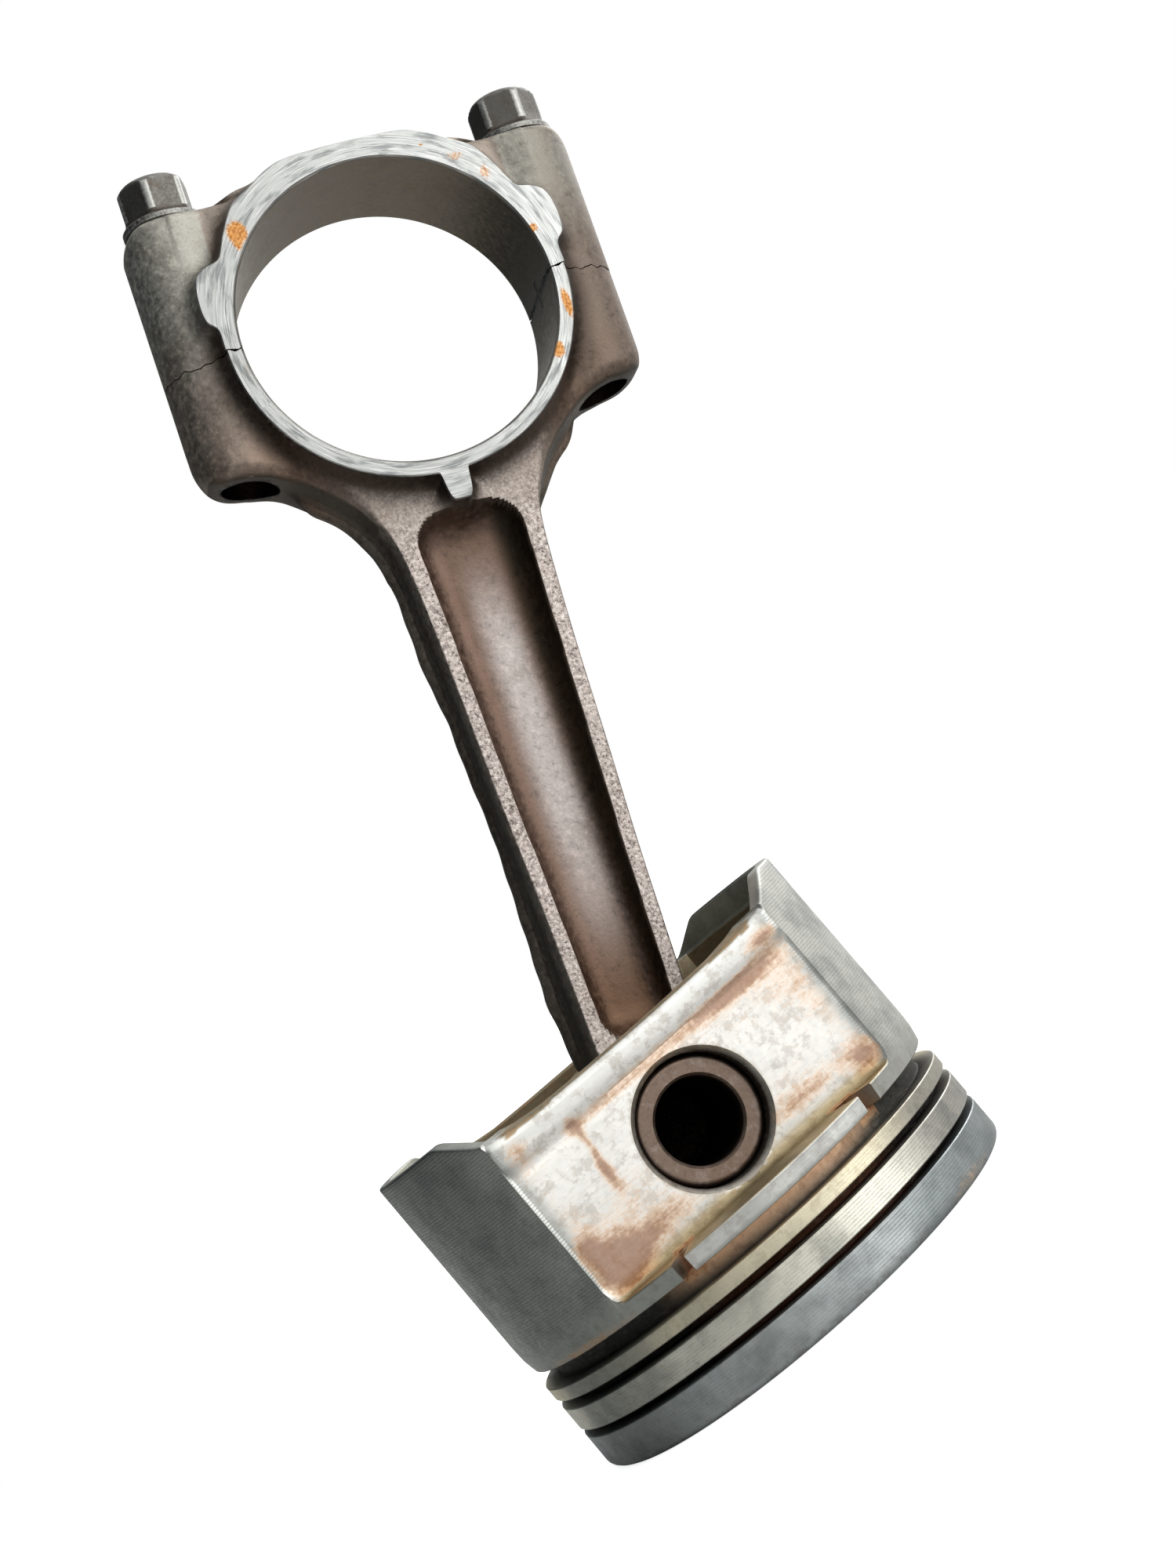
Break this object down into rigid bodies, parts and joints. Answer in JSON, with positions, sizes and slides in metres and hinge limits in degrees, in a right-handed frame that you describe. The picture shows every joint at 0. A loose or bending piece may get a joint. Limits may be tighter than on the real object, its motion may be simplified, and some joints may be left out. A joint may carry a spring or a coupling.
{
  "type": "piston with connecting rod",
  "caption": "Automotive piston with three ring grooves on a hollow pressed-in pin, carried by an I-beam connecting rod whose big-end cap is held by flanged hex bolts.",
  "frame": {"origin": "centre of the piston's crown face", "axes": "+Z from the crown towards the open skirt and the rod, Y along the pin, +X the thrust side that the rod leans towards at rest"},
  "size_m": [0.1416, 0.0816, 0.2117],
  "materials": {
    "piston_aluminium": "cast and turned aluminium with brown varnish stains and dark ring grooves",
    "pin_steel": "ground steel, brown with burnt oil",
    "forged_steel": "rough dark forging, machined bright on the big-end side faces",
    "bolt_steel": "dark phosphated steel, bright on the edges"
  },
  "bodies": {
    "piston": {"piston": "piston_aluminium"},
    "rod": {"piston_pin": "pin_steel", "connecting_rod": "forged_steel", "rod_cap": "forged_steel", "rod_bolt_left": "bolt_steel", "rod_bolt_right": "bolt_steel"}
  },
  "joints": [
    {"name": "rod_swing", "type": "hinge", "parent": "piston", "child": "rod", "pos_m": [0, 0, 0.034], "axis": [0, 1, 0], "range_deg": [-66, 22]}
  ]
}
